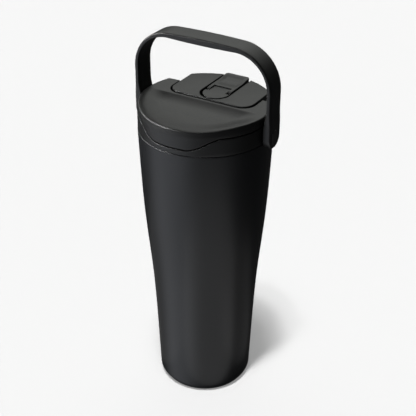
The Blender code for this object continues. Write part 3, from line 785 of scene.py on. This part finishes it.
def build_plug():
    """The screw plug under the lid: a hollow cup with one turn and a quarter of thread."""
    inside = PLUG_RADIUS - 2.0
    profile = [(PLUG_FLANGE, PLUG_TOP), (PLUG_FLANGE, PLUG_TOP - 2), (PLUG_RADIUS, PLUG_TOP - 3.5),
               (PLUG_RADIUS, PLUG_BOTTOM + 1.0)]
    profile += arc(PLUG_RADIUS - 1.0, PLUG_BOTTOM + 1.0, 1.0, -15, -90, 5)
    profile += [(34.0, PLUG_BOTTOM), (33.4, PLUG_BOTTOM + 0.5), (32.6, PLUG_BOTTOM + 0.5),
                (32.0, PLUG_BOTTOM), (0, PLUG_BOTTOM), (0, PLUG_BOTTOM + 2),
                (inside, PLUG_BOTTOM + 2), (inside, PLUG_TOP)]
    piece = add_piece("screw_plug", turned(profile, 144), LID_PLASTIC, "lid", ["threaded_plug"])
    join(piece, cutter("thread", thread_ridge()))
    drill_lid(piece)
    piece.data.set_sharp_from_angle(angle=math.radians(35))


def thread_ridge():
    turns, pitch, high = 1.25, 4.0, 1.3
    steps = 180
    sections = []
    for i in range(steps + 1):
        angle = 2 * math.pi * turns * i / steps
        lead = smooth_step(0, 1, min(i, steps - i, 18) / 18)
        out = PLUG_RADIUS + high * max(lead, 0.12)
        back = PLUG_RADIUS - 0.8
        z = PLUG_BOTTOM + 2.6 + pitch * turns * i / steps
        shape = [(back, z - 1.3), (PLUG_RADIUS + 0.1, z - 1.0), (out, z - 0.4), (out, z + 0.4),
                 (PLUG_RADIUS + 0.1, z + 1.0), (back, z + 1.3)]
        sections.append([(r * math.cos(angle), r * math.sin(angle), h) for r, h in shape])
    return sweep(sections)


def build_lid_filling():
    """Foam in the plug, the drinking spout through it, and the two silicone seals."""
    inside = PLUG_RADIUS - 2.3
    profile = [(0, PLUG_TOP - 0.6), (inside, PLUG_TOP - 0.6), (inside, PLUG_BOTTOM + 2.3),
               (0, PLUG_BOTTOM + 2.3)]
    foam = add_piece("foam_disc", turned(profile, 96), FOAM, "lid", ["lid_insulation"])
    drill_lid(foam)
    low, high = PLUG_BOTTOM - 0.4, DECK_Z + 1.0
    profile = [(SPOUT_RADIUS, low + 0.3), (SPOUT_RADIUS, high - 0.5)]
    profile += arc(SPOUT_RADIUS - 0.5, high - 0.5, 0.5, 15, 165, 8)
    profile += [(SPOUT_BORE, high - 0.5), (SPOUT_BORE, low + 0.3), (SPOUT_BORE + 0.3, low),
                (SPOUT_RADIUS - 0.3, low)]
    spout = turned(profile, 96, (0, SPOUT_Y))
    add_piece("spout", spout, LID_PLASTIC, "lid", ["spout_tube"])
    under = HINGE_Z - 1.1
    profile = [(0, under), (SPOUT_RADIUS, under), (SPOUT_RADIUS, under - 0.6),
               (SPOUT_RADIUS - 0.2, under - 0.8), (SPOUT_BORE - 0.35, under - 0.9),
               (SPOUT_BORE - 0.7, DECK_Z + 0.1), (SPOUT_BORE - 1.0, DECK_Z - 0.2),
               (0, DECK_Z - 0.2)]
    add_piece("seal", turned(profile, 96, (0, SPOUT_Y)), SILICONE, "cap", ["cap_seal"])
    upper, lower = GASKET_RIBS
    inner, outer = PLUG_RADIUS + 0.2, PLUG_RADIUS + 1.2
    ribs = [(inner, upper + 0.4), (outer, upper + 0.6)]
    ribs += arc(PLUG_RADIUS + 1.3, upper, 0.4, 60, -60, 6) + [(outer, upper - 0.8)]
    ribs += arc(PLUG_RADIUS + 1.3, lower, 0.4, 60, -60, 6) + [(outer, lower - 0.6),
                                                             (inner, lower - 0.4)]
    add_piece("gasket", turned(ribs, 192), SILICONE, "lid_seal", ["lid_gasket"], sharp=60)


# ---- carried-over CAD nodes ----
CARRIED = {
    "vacuum_getter": STEEL, "hinge_pin": STEEL,
    "pivot_screw_left": STEEL, "pivot_screw_right": STEEL,
    "pivot_washer_left": STRAP_PLASTIC, "pivot_washer_right": STRAP_PLASTIC,
}


def dress_carried_nodes():
    for name, material in CARRIED.items():
        node = frame["nodes"][name]
        for slot in node.material_slots:
            slot.material = material


# ---- stage, camera, light ----
AZIMUTH = math.radians(30.5)
CAMERA_REACH = 0.5579
CAMERA_HEIGHT = 0.4862
CAMERA_PITCH = math.radians(31.42)
CAMERA_YAW = math.radians(0.186)
CAMERA_ROLL = math.radians(0.294)
FOCAL_PIXELS = 900.0
FRAME_PIXELS = 416.0

# Soft patches of light, in groups with one tint each. A patch is the azimuth and elevation of its
# middle and its reach to each side and up and down, all in degrees, and its level.
SOFTBOXES = (
    ((0.93, 0.965, 1.04), ((-66, -32, 42, 32, 0.86), (14, -34, 38, 30, 0.12))),
    ((0.985, 1.01, 0.97), ((190, 36, 64, 20, 1.18),)),
    ((1.0, 1.0, 1.0), ((180, 68, 40, 12, 1.4), (-28, 71, 17, 5, 14.0))),
)
AMBIENT = 0.027
FLOOR_GLOW = 0.267
WALL_GLOW = 0.88
FLOOR_GREY = 0.2
# The lights that throw the mug's shadow on the floor: azimuth, elevation and width in degrees,
# and power.
SUNS = ((-27, 72.5, 4, 1.8), (-22, 77.5, 4, 4.1), (-14, 81, 4.5, 2.6), (-4, 84.5, 5, 0.9))
# The strips behind the thin highlights on the rims: azimuth in degrees, and power.
EDGE_STRIPS = ((-126, 0.006), (-112, 0.010), (-98, 0.018), (-84, 0.026), (-70, 0.024))
EDGE_REACH, EDGE_HEIGHT, EDGE_SIZE, EDGE_TARGET, EDGE_SPREAD = 0.6, 0.43, (0.14, 0.06), 0.215, 18
# Patches of lit table: azimuth in degrees, distance and width in metres, and level.
TABLE_GLOWS = {
    "table_left": (-95, 0.17, 0.26, 0.12),
    "table_front": (8, 0.19, 0.30, 0.42),
    "table_right": (72, 0.13, 0.16, 0.13),
}
# The sweep of paper, in millimetres: the flat floor's radius, its curve and the wall's top.
FLOOR_REACH, FLOOR_CURVE, WALL_TOP = 3000, 1500, 6000


def around(azimuth, reach, height):
    """A point round the mug: azimuth 0 is the front, and it turns towards +X."""
    return Vector((reach * math.sin(azimuth), -reach * math.cos(azimuth), height))


def build_camera():
    data = bpy.data.cameras.new("camera")
    data.sensor_width = 36.0
    data.lens = 36.0 * FOCAL_PIXELS / FRAME_PIXELS
    camera = bpy.data.objects.new("camera", data)
    bpy.context.scene.collection.objects.link(camera)
    heading = AZIMUTH - CAMERA_YAW
    forward = Vector((-math.sin(heading) * math.cos(CAMERA_PITCH),
                      math.cos(heading) * math.cos(CAMERA_PITCH), -math.sin(CAMERA_PITCH)))
    right = forward.cross(Vector((0, 0, 1))).normalized()
    up = right.cross(forward)
    rolled_right = right * math.cos(CAMERA_ROLL) + up * math.sin(CAMERA_ROLL)
    rolled_up = up * math.cos(CAMERA_ROLL) - right * math.sin(CAMERA_ROLL)
    turn = Matrix((rolled_right, rolled_up, -forward)).transposed()
    place = Matrix.Translation(around(AZIMUTH, CAMERA_REACH, CAMERA_HEIGHT))
    camera.matrix_world = place @ turn.to_4x4()
    bpy.context.scene.camera = camera


def build_stage():
    """A pale sweep that catches the mug's shadow: a floor that curves up into a wall far away."""
    profile = ([(FLOOR_REACH, 0)] + arc(FLOOR_REACH, FLOOR_CURVE, FLOOR_CURVE, -80, 0, 8)
               + [(FLOOR_REACH + FLOOR_CURVE, WALL_TOP)])
    work = bmesh.new()
    rings = []
    for i in range(96):
        a = 2 * math.pi * i / 96
        rings.append([work.verts.new((r * math.cos(a), r * math.sin(a), z)) for r, z in profile])
    work.faces.new([ring[0] for ring in rings])
    for ring, following in zip(rings, rings[1:] + rings[:1]):
        for k in range(len(ring) - 1):
            work.faces.new((ring[k], following[k], following[k + 1], ring[k + 1]))
    floor = add_piece("floor", work, pale_floor(), None)
    floor.visible_diffuse = False
    floor.visible_glossy = False
    floor.visible_shadow = False
    return floor


def pale_floor():
    material, tree, shader = new_material("pale_floor")
    shader.inputs["Base Color"].default_value = (*grey(FLOOR_GREY), 1)
    shader.inputs["Roughness"].default_value = 1.0
    shader.inputs["Specular IOR Level"].default_value = 0.0
    shader.inputs["Emission Color"].default_value = (1, 1, 1, 1)
    coordinates = tree.nodes.new("ShaderNodeTexCoord")
    split = tree.nodes.new("ShaderNodeSeparateXYZ")
    tree.links.new(coordinates.outputs["Object"], split.inputs[0])
    lift = tree.nodes.new("ShaderNodeMapRange")
    lift.inputs["From Max"].default_value = 1.5
    lift.inputs["To Min"].default_value = FLOOR_GLOW
    lift.inputs["To Max"].default_value = WALL_GLOW
    tree.links.new(split.outputs["Z"], lift.inputs["Value"])
    tree.links.new(lift.outputs["Result"], shader.inputs["Emission Strength"])
    return material


def strip_light(name, azimuth, reach, height, size, power, target, spread):
    """A strip of light with a narrow beam, aimed at a point on the mug's axis."""
    data = bpy.data.lights.new(name, "AREA")
    data.shape = "RECTANGLE"
    data.size, data.size_y = size
    data.energy = power
    data.spread = math.radians(spread)
    lamp = bpy.data.objects.new(name, data)
    bpy.context.scene.collection.objects.link(lamp)
    lamp.location = around(AZIMUTH + math.radians(azimuth), reach, height)
    aim = Vector((0, 0, target)) - lamp.location
    lamp.rotation_euler = aim.to_track_quat("-Z", "Y").to_euler()


def shadow_suns(floor):
    """The lights behind the mug's shadow: they light the floor alone."""
    lit = bpy.data.collections.new("lit_by_the_suns")
    lit.objects.link(floor)
    for azimuth, elevation, width, power in SUNS:
        data = bpy.data.lights.new("shadow_sun", "SUN")
        data.energy = power
        data.angle = math.radians(width)
        lamp = bpy.data.objects.new("shadow_sun", data)
        bpy.context.scene.collection.objects.link(lamp)
        rise = math.radians(elevation)
        towards = around(AZIMUTH + math.radians(azimuth), math.cos(rise), math.sin(rise))
        lamp.rotation_euler = towards.to_track_quat("Z", "Y").to_euler()
        lamp.light_linking.receiver_collection = lit


def table_glow(name, azimuth, reach, size, level):
    """A lit patch of the white table near the mug, as the mug's lower half reflects it."""
    data = bpy.data.lights.new(name, "AREA")
    data.shape = "DISK"
    data.size = size
    data.energy = level * math.pi * math.pi * (size / 2) ** 2
    lamp = bpy.data.objects.new(name, data)
    bpy.context.scene.collection.objects.link(lamp)
    lamp.location = around(AZIMUTH + math.radians(azimuth), reach, 0.001)
    lamp.rotation_euler = (math.pi, 0, 0)
    lamp.visible_camera = False


def maths(tree, operation, *values):
    """A Math node: each value is a number or another node's output."""
    node = tree.nodes.new("ShaderNodeMath")
    node.operation = operation
    for socket, value in zip(node.inputs, values):
        if isinstance(value, (int, float)):
            socket.default_value = value
        else:
            tree.links.new(value, socket)
    return node.outputs[0]


def softbox(tree, turn, rise, azimuth, elevation, wide, tall, level):
    """A soft patch of light with a flat top to each side, in the sky or below: in degrees."""
    def falloff(angle, centre, reach, wraps):
        gap = maths(tree, "SUBTRACT", angle, math.radians(centre))
        if wraps:
            gap = maths(tree, "WRAP", gap, math.pi, -math.pi)
        gap = maths(tree, "DIVIDE", gap, math.radians(reach))
        return maths(tree, "MULTIPLY", gap, gap)

    sideways = falloff(turn, azimuth, wide, True)
    total = maths(tree, "ADD", maths(tree, "MULTIPLY", sideways, sideways),
                  falloff(rise, elevation, tall, False))
    fade = maths(tree, "EXPONENT", maths(tree, "MULTIPLY", total, -1.0))
    return maths(tree, "MULTIPLY", fade, level)


def build_light():
    """A dark room with soft patches of light: azimuth 0 is where the camera stands."""
    world = bpy.data.worlds.new("studio")
    bpy.context.scene.world = world
    world.use_nodes = True
    tree = world.node_tree
    coordinates = tree.nodes.new("ShaderNodeTexCoord")
    split = tree.nodes.new("ShaderNodeSeparateXYZ")
    tree.links.new(coordinates.outputs["Generated"], split.inputs[0])
    x, y, z = split.outputs
    bearing = maths(tree, "ARCTAN2", x, maths(tree, "MULTIPLY", y, -1.0))
    turn = maths(tree, "SUBTRACT", bearing, AZIMUTH)
    rise = maths(tree, "ARCSINE", z)
    shaders = []
    for tint, patches in SOFTBOXES:
        total = AMBIENT / len(SOFTBOXES)
        for patch in patches:
            total = maths(tree, "ADD", softbox(tree, turn, rise, *patch), total)
        background = tree.nodes.new("ShaderNodeBackground")
        background.inputs["Color"].default_value = (*tint, 1)
        tree.links.new(total, background.inputs["Strength"])
        shaders.append(background.outputs[0])
    mixed = shaders[0]
    for shader in shaders[1:]:
        add = tree.nodes.new("ShaderNodeAddShader")
        tree.links.new(mixed, add.inputs[0])
        tree.links.new(shader, add.inputs[1])
        mixed = add.outputs[0]
    tree.links.new(mixed, tree.nodes["World Output"].inputs["Surface"])
    for azimuth, power in EDGE_STRIPS:
        strip_light("edge_strip", azimuth, EDGE_REACH, EDGE_HEIGHT, EDGE_SIZE, power,
                    EDGE_TARGET, EDGE_SPREAD)
    for name, patch in TABLE_GLOWS.items():
        table_glow(name, *patch)
    bpy.context.scene.view_settings.view_transform = "Standard"


build_camera()
build_outer_shell()
build_lid_cover()
build_lid_base()
build_deck_panel()
build_hinge_block()
build_flip_cap()
build_handle()
build_pivot_caps()
build_inner_liner()
build_foot()
build_plug()
build_lid_filling()
dress_carried_nodes()
stage = build_stage()
build_light()
shadow_suns(stage)
